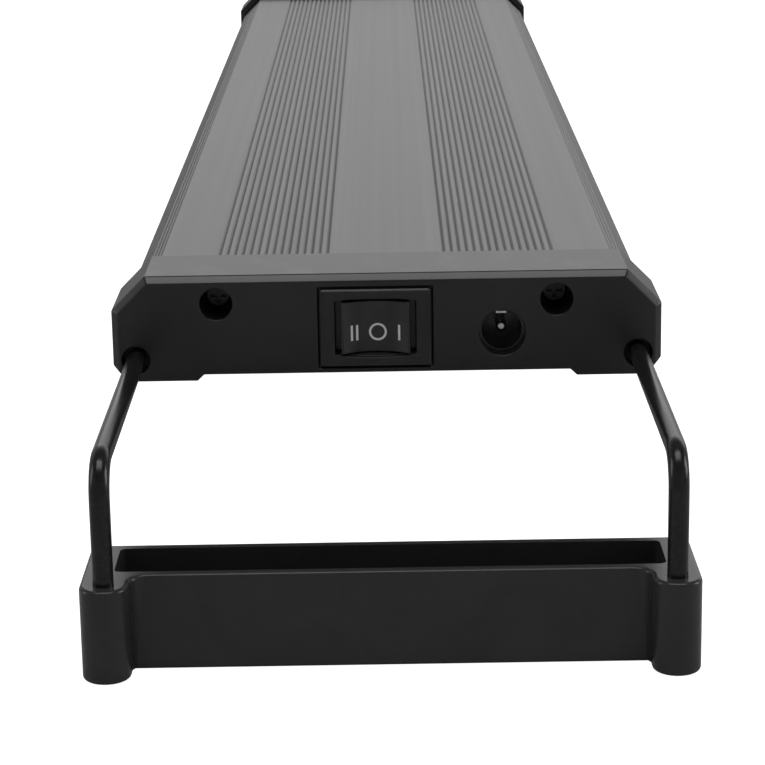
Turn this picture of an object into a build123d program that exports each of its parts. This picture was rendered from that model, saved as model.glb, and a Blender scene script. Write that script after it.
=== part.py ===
from build123d import *
import os

# LED aquarium light: an aluminium housing with a plastic cap on each end, standing on two wire
# brackets that slide out of the caps and hook over the tank's end rims.
# Frame: millimetres, +Z up, +X across the light, the switch end faces -Y. The origin is on the
# surface that the feet rest on, under the middle of the light.

os.makedirs("parts", exist_ok=True)

# ---- Driving dimensions ----

# Housing, an extrusion along Y
BODY_LENGTH = 490.0          # cap face to cap face
HOUSING_WIDTH = 101.0
HOUSING_HEIGHT = 17.0
HOUSING_WALL = 1.8
HOUSING_CHAMFER = 5.9        # the 45 degree shoulders
HOUSING_TOE = 1.5            # the small chamfer of the lower corners
HOUSING_EDGE_R = 0.4
CORNER_BLOCK = 9.0           # width of the lower corner block that holds the leg channel
BLOCK_HEIGHT = 6.6
BLOCK_STEP = 1.9             # how far the block's top step stands back from its inner face
LIP_REACH = 1.9              # how far the cover's two lips reach inwards from the block
LIP_THICKNESS = 1.2
GROOVE_PITCH = 1.535         # decorative grooves along the top
GROOVE_WIDTH = 0.75          # across the mouth of its V
GROOVE_COUNT = 15            # in each of the two bands
BAND_START = 11.6            # first groove from the middle
SHOULDER_GROOVES = 3         # on each shoulder
SHOULDER_START = 0.95        # first of them from the top edge
SHOULDER_PITCH = 1.5
SHOULDER_GROOVE = 0.45

# Clear cover
LENS_THICKNESS = 2.0
LENS_PLAY = 0.1              # above and below, in its groove
LENS_SIDE_PLAY = 0.5

# Legs, bent from wire
LEG_DIAMETER = 3.5
LEG_HEIGHT = 37.0            # axis of the level run above the foot's underside
LEG_RISE = 3.0               # the same axis above the housing's underside
LEG_INSET = 2.8              # the same axis inwards from the housing's side
LEG_BEND = 6.0               # centreline radius of the elbow
LEG_RUN = 150.0              # level run, from the upright's axis to the hidden end
LEG_OUT = 68.0               # upright's axis in front of the cap face, as it stands
LEG_END_CHAMFER = 0.4
CHANNEL_PLAY = 0.3           # round the leg in the housing and behind the bush
BUSH_PLAY = 0.05             # running fit of the leg in its bush
BUSH_WALL = 0.75
BUSH_SEAT_PLAY = 0.05        # round the bush in the cap
BUSH_MOUTH = 3.0             # how deep the bush sits behind the cap face
BUSH_STOP = 1.0              # from the bush to the housing

# End caps
CAP_DEPTH = 19.5
CAP_LEDGE = 12.0             # depth of the ledge that the housing butts against
CAP_LEDGE_WIDTH = 1.5
CAP_FACE_WALL = 2.2
CAP_SIDE_WALL = 1.5
CAP_ROOF = 1.9
CAP_FLOOR = 1.2
CAP_FIT = 0.15               # round the housing
CAP_CHAMFER = 6.5            # its 45 degree shoulders
CAP_TOE = (3.2, 3.0)         # lower corner chamfer, across and up
CAP_BEVEL = 1.3              # round the face's top and sides
PAD_SLOPE = 1.3              # width of the slope down to the pads under the legs
PAD_SETBACK = 3.5            # pad edge inwards from the lip edge
LEG_TUBE_WALL = 1.2

# Cap screws and the ports they cut into
SCREW_SPACING = 64.4
SCREW_DROP = 3.3             # axis below the housing's top
SCREW_CORE_R = 1.2
SCREW_PLAY = 0.05
SCREW_CLEAR_R = 1.6          # hole in the cap's screw floor
SCREW_HEAD_R = 2.75
SCREW_HEAD_HEIGHT = 2.0
SCREW_LENGTH = 12.0
SCREW_WELL_R = 3.075
SCREW_FLOOR = 2.0            # from the well to the housing
SCREW_TUBE_WALL = 1.2
PORT_R = 2.9
PORT_SLIT = 1.4
CROSS_SLOT = (0.8, 3.0, 1.0)  # width, length and depth of the cross recess

# Rocker switch
SWITCH_X = -2.1
SWITCH_RISE = 8.75           # centre above the housing's underside
BEZEL_WIDTH = 21.0
BEZEL_HEIGHT = 15.0
BEZEL_THICKNESS = 1.2
BEZEL_EDGE_R = 0.5
BEZEL_RECESS = 0.8           # depth of its seat in the cap's face
BEZEL_GAP = 0.35             # round it in that seat
SWITCH_BODY_WIDTH = 19.2
SWITCH_BODY_HEIGHT = 12.9
SWITCH_BODY_DEPTH = 14.5
SWITCH_CUTOUT_PLAY = 0.1
SWITCH_OPENING_WIDTH = 15.4
SWITCH_OPENING_HEIGHT = 10.4
SWITCH_OPENING_ARCH = 0.55   # how far the opening's long sides bow out
SWITCH_CAVITY_WIDTH = 16.6
SWITCH_REAR_WALL = 1.6
SNAP_WIDTH = 5.0
SNAP_LENGTH = 4.6
SNAP_PROUD = 0.8
ROCKER_WIDTH = 13.1
ROCKER_HEIGHT = 9.9
ROCKER_PROUD = 0.8           # its two ends in front of the bezel
ROCKER_DISH = 2.4            # its middle behind its ends
ROCKER_PIVOT = 5.0           # behind the bezel's face
ROCKER_SKIRT = 6.0           # behind the bezel's face
ROCKER_TAPER = 0.3           # each side, from front to wing
WING_WIDTH = 15.2            # the wings fill the gaps beside the rocker
WING_START = 3.4             # behind the bezel's face
TRUNNION_R = 1.0
TRUNNION_LENGTH = 0.9
TRUNNION_PLAY = 0.06
STEM_R = 1.7
STEM_END = 8.3               # behind the bezel's face
STEM_BORE_R = 1.05
STEM_BORE_TOP = 3.6
PLUNGER_R = 0.95
PLUNGER_LENGTH = 4.4
SPRING_WIRE_R = 0.14
SPRING_R = 0.72
SPRING_TURNS = 4
BLADE_LENGTH = 13.0
BLADE_HEIGHT = 4.4
BLADE_THICKNESS = 0.5
BLADE_BEAD_R = 0.25          # ridge that it rocks on
CONTACT_GAP = 0.3            # plunger to blade, blade to its support
BLADE_LIFT = 1.1             # blade's back to the side contacts, as it stands
TERMINAL_SPACING = 7.0
TERMINAL_THICKNESS = 0.8
TERMINAL_HEIGHT = 4.8
TERMINAL_OUT = 7.5           # behind the switch body
CONTACT_HEAD = (3.0, 0.8)    # width and thickness of the side contacts' heads

# Power inlet
JACK_X = 21.9
JACK_RISE = 7.3              # centre above the housing's underside
JACK_HOLE_R = 4.4
JACK_SEAT = 2.76             # its front face behind the cap face
JACK_R = 5.8
JACK_LENGTH = 6.2            # the full-width part
JACK_PLAY = 0.05
JACK_SOCKET_WALL = 1.2
JACK_TAIL_R = 4.4
JACK_TAIL_LENGTH = 5.0
JACK_BORE_R = 3.7
JACK_BORE_DEPTH = 9.2
JACK_PIN_R = 1.0
JACK_PIN_TIP = 5.0           # behind the cap face
JACK_TAG = (2.0, 0.6, 4.0)   # width, thickness and length of the solder tags
JACK_TAG_OFFSET = 2.8        # negative tag above the pin
JACK_SPRING_THICKNESS = 0.4
JACK_SPRING_START = 2.6      # behind the body's front face
LOCK_RING_LENGTH = 2.0
LOCK_RING_PLAY = 0.05

# LED board
BOARD_THICKNESS = 1.6
BOARD_SETBACK = 28.0         # behind each cap face
BOARD_MARGIN = 5.6           # from its end to the first LED's column
BOARD_SIDE_GAP = 1.3         # to the screw ports
LED_COLUMNS = 24
LED_ROW_SPACING = 20.0
LED_SIZE = 5.0
LED_HEIGHT = 1.6
LED_CUP_R = 2.0
LED_CUP_DEPTH = 0.3
BLUE_EVERY = 4
RESISTOR = (3.2, 1.6, 0.6)
RESISTOR_X = 10.0
RESISTOR_COUNT = 6
BOARD_SCREW_STEP = 5         # LED pitches between board screws
BOARD_SCREW_COUNT = 5
BOARD_SCREW_R = 1.2
BOARD_SCREW_PLAY = 0.1
BOARD_SCREW_BITE = 1.2
BOARD_SCREW_HEAD_R = 2.2
BOARD_SCREW_HEAD_HEIGHT = 1.2

# Inner wires
WIRE_R = 0.65
WIRE_BEND = 3.5
WIRE_GAP = 0.05
WIRE_REACH = 5.0             # how far the long crossing wire stands behind the switch tabs
WIRE_CLIMB = 11.0            # how far behind the tabs the board wires turn up
WIRE_OFFSET = 1.5            # above and below the middle of the switch tabs

# Feet
FOOT_HEIGHT = 16.4
BOSS_R = 4.1
BOSS_SETBACK = 8.6           # boss front to plate front
FOOT_DEPTH = 24.6            # boss front to back edge
PLATE_THICKNESS = 1.8
PLATE_RAKE = 1.4             # its lower edge in front of its upper one
BACK_THICKNESS = 2.2
RIM_SLOT_DEPTH = 9.0
WEB_THICKNESS = 2.0
END_BLOCK = 5.2              # solid length at each end of the upper trough
FOOT_FILLET = 3.0            # from boss to plate
FOOT_CORNER_R = 1.2
FOOT_EDGE_R = 0.7
LEG_HOLE_FLOOR = 2.5
LEG_SEAT_PLAY = 0.05

# ---- Places that follow from them ----

HALF = HOUSING_WIDTH / 2
BOTTOM = LEG_HEIGHT - LEG_RISE
TOP = BOTTOM + HOUSING_HEIGHT
CEILING = TOP - HOUSING_WALL
HOUSING_LENGTH = BODY_LENGTH - 2 * CAP_LEDGE
BUSH_LENGTH = CAP_LEDGE - BUSH_MOUTH - BUSH_STOP
SCREW_WELL_DEPTH = CAP_LEDGE - SCREW_FLOOR
LEG_R = LEG_DIAMETER / 2
LEG_X = HALF - LEG_INSET
CHANNEL_R = LEG_R + CHANNEL_PLAY
BUSH_BORE_R = LEG_R + BUSH_PLAY
BUSH_R = BUSH_BORE_R + BUSH_WALL
BUSH_SEAT_R = BUSH_R + BUSH_SEAT_PLAY
BLOCK_X = HALF - CORNER_BLOCK
LIP_X = BLOCK_X - LIP_REACH
GROOVE_LOW = BOTTOM + LIP_THICKNESS
GROOVE_HIGH = GROOVE_LOW + LENS_THICKNESS + 2 * LENS_PLAY
FLOOR_TOP = BOTTOM + CAP_FLOOR
PAD_BOTTOM = BOTTOM - CAP_FLOOR
PAD_X = LIP_X - PAD_SETBACK
CAP_HALF = HALF + CAP_FIT + CAP_SIDE_WALL
CAP_TOP = TOP + CAP_FIT + CAP_ROOF
SCREW_X = SCREW_SPACING / 2
SCREW_Z = TOP - SCREW_DROP
SWITCH_Z = BOTTOM + SWITCH_RISE
JACK_Z = BOTTOM + JACK_RISE
UPRIGHT_Y = -BODY_LENGTH / 2 - LEG_OUT
FOOT_FRONT = UPRIGHT_Y - BOSS_R
PLATE_FRONT = FOOT_FRONT + BOSS_SETBACK
FOOT_BACK = FOOT_FRONT + FOOT_DEPTH
SLOT_FRONT = PLATE_FRONT + PLATE_THICKNESS
SLOT_BACK = FOOT_BACK - BACK_THICKNESS
FOOT_HALF = LEG_X + BOSS_R
BOARD_BOTTOM = CEILING - BOARD_THICKNESS
BOARD_HALF = SCREW_X - PORT_R - BOARD_SIDE_GAP
BOARD_LENGTH = BODY_LENGTH - 2 * BOARD_SETBACK
LED_PITCH = (BOARD_LENGTH - 2 * BOARD_MARGIN) / LED_COLUMNS


def at_depth(depth):
    """Plane across the light, this far behind the front cap's face. Extrusions come forwards."""
    return Plane.XZ.offset(BODY_LENGTH / 2 - depth)


def both_sides(half):
    """Closed outline from its +X half, which is listed from the bottom to the top."""
    return half + [(-x, z) for x, z in reversed(half)]


def turned_to_rear(part):
    """The same piece at the other end of the light."""
    return part.rotate(Axis.Z, 180)


def save(part, name):
    part.label = name
    export_step(part, f"parts/{name}.step")


# ---- Housing and clear cover ----

housing_half = [
    (HALF - HOUSING_TOE, BOTTOM),
    (HALF, BOTTOM + HOUSING_TOE),
    (HALF, TOP - HOUSING_CHAMFER),
    (HALF - HOUSING_CHAMFER, TOP),
]


def shoulder_point(down):
    """Point on the right shoulder, this far down its slope from the top edge."""
    step = down / 2 ** 0.5
    return (HALF - HOUSING_CHAMFER + step, TOP - step)


def make_housing():
    shoulder_sum = HALF + TOP - HOUSING_CHAMFER - HOUSING_WALL * 2 ** 0.5
    inner_wall = HALF - HOUSING_WALL
    block_top = BOTTOM + BLOCK_HEIGHT
    lip_top = GROOVE_HIGH + LIP_THICKNESS
    groove_side = GROOVE_WIDTH / 2 ** 0.5
    shoulder_side = SHOULDER_GROOVE / 2 ** 0.5
    hollow_half = [
        (LIP_X, BOTTOM - 1),
        (LIP_X, GROOVE_LOW),
        (BLOCK_X, GROOVE_LOW),
        (BLOCK_X, GROOVE_HIGH),
        (LIP_X, GROOVE_HIGH),
        (LIP_X, lip_top),
        (BLOCK_X + BLOCK_STEP, lip_top),
        (BLOCK_X + BLOCK_STEP, block_top),
        (inner_wall, block_top),
        (inner_wall, shoulder_sum - inner_wall),
        (shoulder_sum - CEILING, CEILING),
    ]
    ports = [(-SCREW_X, SCREW_Z), (SCREW_X, SCREW_Z)]
    with BuildPart() as housing:
        with BuildSketch(Plane.XZ) as profile:
            with BuildLine():
                Polyline(*both_sides(housing_half), close=True)
            make_face()
            fillet(profile.vertices(), HOUSING_EDGE_R)
            with BuildLine():
                Polyline(*both_sides(hollow_half), close=True)
            make_face(mode=Mode.SUBTRACT)
            with Locations(*ports):
                Circle(PORT_R)
            with Locations(*ports):
                Circle(SCREW_CORE_R + SCREW_PLAY, mode=Mode.SUBTRACT)
            with Locations(*[(x, z - PORT_R / 2) for x, z in ports]):
                Rectangle(PORT_SLIT, PORT_R + 0.2, mode=Mode.SUBTRACT)
            with Locations((-LEG_X, LEG_HEIGHT), (LEG_X, LEG_HEIGHT)):
                Circle(CHANNEL_R, mode=Mode.SUBTRACT)
            for side in (-1, 1):
                for i in range(GROOVE_COUNT):
                    with Locations((side * (BAND_START + i * GROOVE_PITCH), TOP)):
                        Rectangle(groove_side, groove_side, rotation=45, mode=Mode.SUBTRACT)
                for i in range(SHOULDER_GROOVES):
                    x, z = shoulder_point(SHOULDER_START + i * SHOULDER_PITCH)
                    with Locations((side * x, z)):
                        Rectangle(shoulder_side, shoulder_side, mode=Mode.SUBTRACT)
        extrude(amount=HOUSING_LENGTH / 2, both=True)
        # blind holes in the ceiling for the LED board's screws
        with Locations(*[Location((0, y, CEILING + BOARD_SCREW_BITE / 2)) for y in board_screw_ys()]):
            Cylinder(BOARD_SCREW_R + BOARD_SCREW_PLAY, BOARD_SCREW_BITE + 0.2, mode=Mode.SUBTRACT)
    save(housing.part, "housing_extrusion")


def make_lens():
    lens_start = SWITCH_BODY_DEPTH + 1.0
    length = BODY_LENGTH - 2 * lens_start
    with BuildPart() as lens:
        with BuildSketch(Plane.XY.offset(GROOVE_LOW + LENS_PLAY)):
            Rectangle(2 * (BLOCK_X - LENS_SIDE_PLAY), length)
        extrude(amount=LENS_THICKNESS)
        chamfer(lens.edges().filter_by(Axis.Y), 0.2)
    save(lens.part, "lens_cover")


# ---- LED board ----


def board_screw_ys():
    first = -(BOARD_SCREW_COUNT - 1) / 2
    return [(first + i) * BOARD_SCREW_STEP * LED_PITCH for i in range(BOARD_SCREW_COUNT)]


def led_places(blue):
    """Centres of the LEDs of one colour. Every fourth column is blue."""
    places = []
    for column in range(LED_COLUMNS):
        if (column % BLUE_EVERY == BLUE_EVERY // 2) != blue:
            continue
        y = (column - (LED_COLUMNS - 1) / 2) * LED_PITCH
        places += [(row * LED_ROW_SPACING, y) for row in (-1, 0, 1)]
    return places


def make_board():
    with BuildPart() as board:
        with BuildSketch(Plane.XY.offset(BOARD_BOTTOM)):
            Rectangle(2 * BOARD_HALF, BOARD_LENGTH)
            with Locations(*[(0, y) for y in board_screw_ys()]):
                Circle(BOARD_SCREW_R + BOARD_SCREW_PLAY, mode=Mode.SUBTRACT)
        extrude(amount=BOARD_THICKNESS)
    save(board.part, "led_board")


def make_leds(name, blue):
    with BuildPart() as leds:
        with BuildSketch(Plane.XY.offset(BOARD_BOTTOM - LED_HEIGHT)):
            with Locations(*led_places(blue)):
                Rectangle(LED_SIZE, LED_SIZE)
        extrude(amount=LED_HEIGHT)
        with BuildSketch(Plane.XY.offset(BOARD_BOTTOM - LED_HEIGHT)):
            with Locations(*led_places(blue)):
                Circle(LED_CUP_R)
        extrude(amount=LED_CUP_DEPTH, mode=Mode.SUBTRACT)
    save(leds.part, name)


def make_board_screws():
    head_low = BOARD_BOTTOM - BOARD_SCREW_HEAD_HEIGHT
    places = [(0, y) for y in board_screw_ys()]
    with BuildPart() as screws:
        with BuildSketch(Plane.XY.offset(head_low)):
            with Locations(*places):
                Circle(BOARD_SCREW_HEAD_R)
        extrude(amount=BOARD_SCREW_HEAD_HEIGHT)
        with BuildSketch(Plane.XY.offset(BOARD_BOTTOM)):
            with Locations(*places):
                Circle(BOARD_SCREW_R)
        extrude(amount=BOARD_THICKNESS + BOARD_SCREW_BITE)
        with BuildSketch(Plane.XY.offset(head_low)):
            with Locations(*places):
                Rectangle(BOARD_SCREW_HEAD_R * 1.2, CROSS_SLOT[0])
                Rectangle(CROSS_SLOT[0], BOARD_SCREW_HEAD_R * 1.2)
        extrude(amount=BOARD_SCREW_HEAD_HEIGHT / 2, mode=Mode.SUBTRACT)
    save(screws.part, "board_screws")


def make_resistors():
    length, width, height = RESISTOR
    step = BOARD_LENGTH / RESISTOR_COUNT
    places = []
    for i in range(RESISTOR_COUNT):
        y = (i - (RESISTOR_COUNT - 1) / 2) * step
        places += [(-RESISTOR_X, y), (RESISTOR_X, y)]
    with BuildPart() as resistors:
        with BuildSketch(Plane.XY.offset(BOARD_BOTTOM - height)):
            with Locations(*places):
                Rectangle(width, length)
        extrude(amount=height)
    save(resistors.part, "resistors")


# ---- End caps, their screws and the leg bushes ----

cap_half = [
    (PAD_X - PAD_SLOPE, BOTTOM),
    (PAD_X, PAD_BOTTOM),
    (CAP_HALF - CAP_TOE[0], PAD_BOTTOM),
    (CAP_HALF, PAD_BOTTOM + CAP_TOE[1]),
    (CAP_HALF, CAP_TOP - CAP_CHAMFER),
    (CAP_HALF - CAP_CHAMFER, CAP_TOP),
]
floor_half = [
    (PAD_X - PAD_SLOPE, BOTTOM),
    (PAD_X, PAD_BOTTOM),
    (PAD_X, BOTTOM - CAP_FIT),
    (PAD_X - PAD_SLOPE - CAP_FIT, FLOOR_TOP),
]


def make_end_cap(with_controls):
    """Moulded cap at the switch end; without the controls it is the plain one."""
    screws = [(-SCREW_X, SCREW_Z), (SCREW_X, SCREW_Z)]
    legs = [(-LEG_X, LEG_HEIGHT), (LEG_X, LEG_HEIGHT)]
    with BuildPart() as cap:
        with BuildSketch(at_depth(CAP_DEPTH)):
            with BuildLine():
                Polyline(*both_sides(cap_half), close=True)
            make_face()
        extrude(amount=CAP_DEPTH)
        face_edges = cap.faces().sort_by(Axis.Y)[0].edges()
        chamfer(face_edges.filter_by(lambda e: e.center().Z > LEG_HEIGHT), CAP_BEVEL)
        # pocket for the housing, and the hollow in front of it
        with BuildSketch(at_depth(CAP_DEPTH)):
            with BuildLine():
                Polyline(*both_sides(housing_half), close=True)
            make_face()
            offset(amount=CAP_FIT, kind=Kind.INTERSECTION)
        extrude(amount=CAP_DEPTH - CAP_LEDGE, mode=Mode.SUBTRACT)
        with BuildSketch(at_depth(CAP_LEDGE)):
            with BuildLine():
                Polyline(*both_sides(housing_half), close=True)
            make_face()
            offset(amount=-CAP_LEDGE_WIDTH, kind=Kind.INTERSECTION)
        extrude(amount=CAP_LEDGE - CAP_FACE_WALL, mode=Mode.SUBTRACT)
        # floor under the clear cover
        with BuildSketch(at_depth(CAP_DEPTH)):
            with BuildLine():
                Polyline(*both_sides(floor_half), close=True)
            make_face()
        extrude(amount=CAP_DEPTH - CAP_LEDGE)
        # tubes behind the face for the screws and the legs
        with BuildSketch(at_depth(CAP_LEDGE)):
            with Locations(*screws):
                Circle(SCREW_WELL_R + SCREW_TUBE_WALL)
            with Locations(*legs):
                Circle(BUSH_SEAT_R + LEG_TUBE_WALL)
            if with_controls:
                with Locations((JACK_X, JACK_Z)):
                    Circle(JACK_R + JACK_PLAY + JACK_SOCKET_WALL)
        extrude(amount=CAP_LEDGE - CAP_FACE_WALL)
        with BuildSketch(at_depth(SCREW_WELL_DEPTH)):
            with Locations(*screws):
                Circle(SCREW_WELL_R)
        extrude(amount=SCREW_WELL_DEPTH, mode=Mode.SUBTRACT)
        with BuildSketch(at_depth(CAP_LEDGE)):
            with Locations(*screws):
                Circle(SCREW_CLEAR_R)
            with Locations(*legs):
                Circle(CHANNEL_R)
        extrude(amount=CAP_LEDGE, mode=Mode.SUBTRACT)
        with BuildSketch(at_depth(BUSH_MOUTH + BUSH_LENGTH)):
            with Locations(*legs):
                Circle(BUSH_SEAT_R)
        extrude(amount=BUSH_MOUTH + BUSH_LENGTH, mode=Mode.SUBTRACT)
        if with_controls:
            with BuildSketch(at_depth(CAP_LEDGE)):
                with Locations((JACK_X, JACK_Z)):
                    Circle(JACK_R + JACK_PLAY)
            extrude(amount=CAP_LEDGE - JACK_SEAT, mode=Mode.SUBTRACT)
            with BuildSketch(at_depth(JACK_SEAT)):
                with Locations((JACK_X, JACK_Z)):
                    Circle(JACK_HOLE_R)
            extrude(amount=JACK_SEAT, mode=Mode.SUBTRACT)
            with BuildSketch(at_depth(CAP_FACE_WALL)):
                with Locations((SWITCH_X, SWITCH_Z)):
                    Rectangle(SWITCH_BODY_WIDTH + 2 * SWITCH_CUTOUT_PLAY,
                              SWITCH_BODY_HEIGHT + 2 * SWITCH_CUTOUT_PLAY)
            extrude(amount=CAP_FACE_WALL, mode=Mode.SUBTRACT)
            with BuildSketch(at_depth(BEZEL_RECESS)):
                with Locations((SWITCH_X, SWITCH_Z)):
                    Rectangle(BEZEL_WIDTH + 2 * BEZEL_GAP, BEZEL_HEIGHT + 2 * BEZEL_GAP)
            extrude(amount=BEZEL_RECESS, mode=Mode.SUBTRACT)
    return cap.part


def make_cap_screws():
    """Two pan head screws at the bottom of the cap's wells."""
    places = [(-SCREW_X, SCREW_Z), (SCREW_X, SCREW_Z)]
    slot_width, slot_length, slot_depth = CROSS_SLOT
    with BuildPart() as screws:
        with BuildSketch(at_depth(SCREW_WELL_DEPTH)):
            with Locations(*places):
                Circle(SCREW_HEAD_R)
        extrude(amount=SCREW_HEAD_HEIGHT)
        fillet(screws.faces().sort_by(Axis.Y)[:2].edges(), SCREW_HEAD_HEIGHT * 0.35)
        with BuildSketch(at_depth(SCREW_WELL_DEPTH + SCREW_LENGTH)):
            with Locations(*places):
                Circle(SCREW_CORE_R)
        extrude(amount=SCREW_LENGTH)
        with BuildSketch(at_depth(SCREW_WELL_DEPTH - SCREW_HEAD_HEIGHT)):
            with Locations(*places):
                Rectangle(slot_length, slot_width)
                Rectangle(slot_width, slot_length)
        extrude(amount=-slot_depth, mode=Mode.SUBTRACT)
    return screws.part


def make_bushes():
    """Two nylon sleeves that grip the legs."""
    with BuildPart() as bushes:
        with BuildSketch(at_depth(BUSH_MOUTH + BUSH_LENGTH)):
            with Locations((-LEG_X, LEG_HEIGHT), (LEG_X, LEG_HEIGHT)):
                Circle(BUSH_R)
                Circle(BUSH_BORE_R, mode=Mode.SUBTRACT)
        extrude(amount=BUSH_LENGTH)
    return bushes.part


# ---- Rocker switch ----

BEZEL_FACE = BEZEL_RECESS - BEZEL_THICKNESS    # depth of the bezel's face behind the cap face
PIVOT_DEPTH = BEZEL_FACE + ROCKER_PIVOT
BORE_TOP = BEZEL_FACE + STEM_BORE_TOP
STEM_BOTTOM = BEZEL_FACE + STEM_END
SPRING_LENGTH = SPRING_TURNS * 0.5 + 2 * SPRING_WIRE_R
PLUNGER_TOP = BORE_TOP + SPRING_LENGTH
PLUNGER_TIP = PLUNGER_TOP + PLUNGER_LENGTH
BLADE_FRONT = PLUNGER_TIP + CONTACT_GAP
BLADE_BACK = BLADE_FRONT + BLADE_THICKNESS
CONTACT_DEPTH = BLADE_BACK + BLADE_LIFT
TERMINAL_END = SWITCH_BODY_DEPTH + TERMINAL_OUT


def from_switch(x, depth):
    """Plan position of a point of the switch, from its middle and the cap face."""
    return (SWITCH_X + x, depth - BODY_LENGTH / 2)


def make_switch_housing():
    half_opening = SWITCH_OPENING_WIDTH / 2
    half_height = SWITCH_OPENING_HEIGHT / 2
    side = SWITCH_BODY_WIDTH / 2
    snap_start = CAP_FACE_WALL + SWITCH_CUTOUT_PLAY
    cavity_depth = SWITCH_BODY_DEPTH - SWITCH_REAR_WALL
    with BuildPart() as body:
        with BuildSketch(at_depth(BEZEL_RECESS)) as bezel:
            with Locations((SWITCH_X, SWITCH_Z)):
                Rectangle(BEZEL_WIDTH, BEZEL_HEIGHT)
            fillet(bezel.vertices(), BEZEL_EDGE_R)
        extrude(amount=BEZEL_THICKNESS)
        chamfer(body.faces().sort_by(Axis.Y)[0].edges(), BEZEL_EDGE_R * 0.8)
        with BuildSketch(at_depth(SWITCH_BODY_DEPTH)):
            with Locations((SWITCH_X, SWITCH_Z)):
                Rectangle(SWITCH_BODY_WIDTH, SWITCH_BODY_HEIGHT)
        extrude(amount=SWITCH_BODY_DEPTH - BEZEL_RECESS)
        with BuildSketch(at_depth(cavity_depth)):
            with Locations((SWITCH_X, SWITCH_Z)):
                Rectangle(SWITCH_CAVITY_WIDTH, SWITCH_OPENING_HEIGHT)
        extrude(amount=cavity_depth - BEZEL_RECESS, mode=Mode.SUBTRACT)
        with BuildSketch(at_depth(BEZEL_RECESS)):
            with BuildLine(Location((SWITCH_X, SWITCH_Z))):
                top = ThreePointArc((-half_opening, half_height),
                                    (0, half_height + SWITCH_OPENING_ARCH),
                                    (half_opening, half_height))
                bottom = ThreePointArc((half_opening, -half_height),
                                       (0, -half_height - SWITCH_OPENING_ARCH),
                                       (-half_opening, -half_height))
                Line(top @ 1, bottom @ 0)
                Line(bottom @ 1, top @ 0)
            make_face()
        extrude(amount=BEZEL_THICKNESS, mode=Mode.SUBTRACT)
        # bearing holes for the rocker's trunnions
        with BuildSketch(Plane.XY.offset(SWITCH_Z)):
            with Locations(from_switch(0, PIVOT_DEPTH)):
                Circle(TRUNNION_R + TRUNNION_PLAY)
        extrude(amount=SWITCH_BODY_HEIGHT, both=True, mode=Mode.SUBTRACT)
        # slots for the terminals
        with BuildSketch(at_depth(SWITCH_BODY_DEPTH)):
            with Locations(*[(SWITCH_X + i * TERMINAL_SPACING, SWITCH_Z) for i in (-1, 0, 1)]):
                Rectangle(TERMINAL_THICKNESS, TERMINAL_HEIGHT)
        extrude(amount=SWITCH_REAR_WALL, mode=Mode.SUBTRACT)
        # snap wedges on both sides
        with BuildSketch(Plane.XY.offset(SWITCH_Z)):
            for hand in (-1, 1):
                with BuildLine():
                    Polyline(from_switch(hand * (side - 0.2), snap_start),
                             from_switch(hand * (side + SNAP_PROUD), snap_start),
                             from_switch(hand * (side - 0.2), snap_start + SNAP_LENGTH),
                             close=True)
                make_face()
        extrude(amount=SNAP_WIDTH / 2, both=True)
    save(body.part, "switch_housing")


def make_rocker():
    half = ROCKER_WIDTH / 2
    end_depth = BEZEL_FACE - ROCKER_PROUD
    wing_half = WING_WIDTH / 2
    wing = BEZEL_FACE + WING_START
    skirt = BEZEL_FACE + ROCKER_SKIRT
    with BuildPart() as rocker:
        with BuildSketch(Plane.XY.offset(SWITCH_Z)) as plan:
            with BuildLine():
                dish = ThreePointArc(from_switch(-half, end_depth),
                                     from_switch(0, end_depth + ROCKER_DISH),
                                     from_switch(half, end_depth))
                Polyline(dish @ 1,
                         from_switch(half - ROCKER_TAPER, wing),
                         from_switch(wing_half, wing),
                         from_switch(wing_half, skirt),
                         from_switch(-wing_half, skirt),
                         from_switch(-wing_half, wing),
                         from_switch(-half + ROCKER_TAPER, wing),
                         dish @ 0)
            make_face()
            fillet(plan.vertices().sort_by(Axis.Y)[:2], 0.35)
        extrude(amount=ROCKER_HEIGHT / 2, both=True)
        with BuildSketch(Plane.XY.offset(SWITCH_Z)):
            with Locations(from_switch(0, PIVOT_DEPTH)):
                Circle(TRUNNION_R)
        extrude(amount=ROCKER_HEIGHT / 2 + TRUNNION_LENGTH, both=True)
        with BuildSketch(at_depth(STEM_BOTTOM)):
            with Locations((SWITCH_X, SWITCH_Z)):
                Circle(STEM_R)
        extrude(amount=STEM_BOTTOM - PIVOT_DEPTH)
        with BuildSketch(at_depth(STEM_BOTTOM)):
            with Locations((SWITCH_X, SWITCH_Z)):
                Circle(STEM_BORE_R)
        extrude(amount=STEM_BOTTOM - BORE_TOP, mode=Mode.SUBTRACT)
    save(rocker.part, "switch_rocker")


def make_plunger():
    with BuildPart() as plunger:
        with BuildSketch(at_depth(PLUNGER_TIP)):
            with Locations((SWITCH_X, SWITCH_Z)):
                Circle(PLUNGER_R)
        extrude(amount=PLUNGER_LENGTH)
        fillet(plunger.faces().sort_by(Axis.Y)[-1].edges(), PLUNGER_R * 0.9)
    save(plunger.part, "switch_plunger")


def make_spring():
    start = (SWITCH_X, BORE_TOP + SPRING_WIRE_R - BODY_LENGTH / 2, SWITCH_Z)
    height = SPRING_LENGTH - 2 * SPRING_WIRE_R
    with BuildPart() as spring:
        with BuildLine() as path:
            Helix(height / SPRING_TURNS, height, SPRING_R, center=start, direction=(0, 1, 0))
        with BuildSketch(Plane(origin=path.line @ 0, z_dir=path.line % 0)):
            Circle(SPRING_WIRE_R)
        sweep()
    save(spring.part, "switch_spring")


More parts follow.
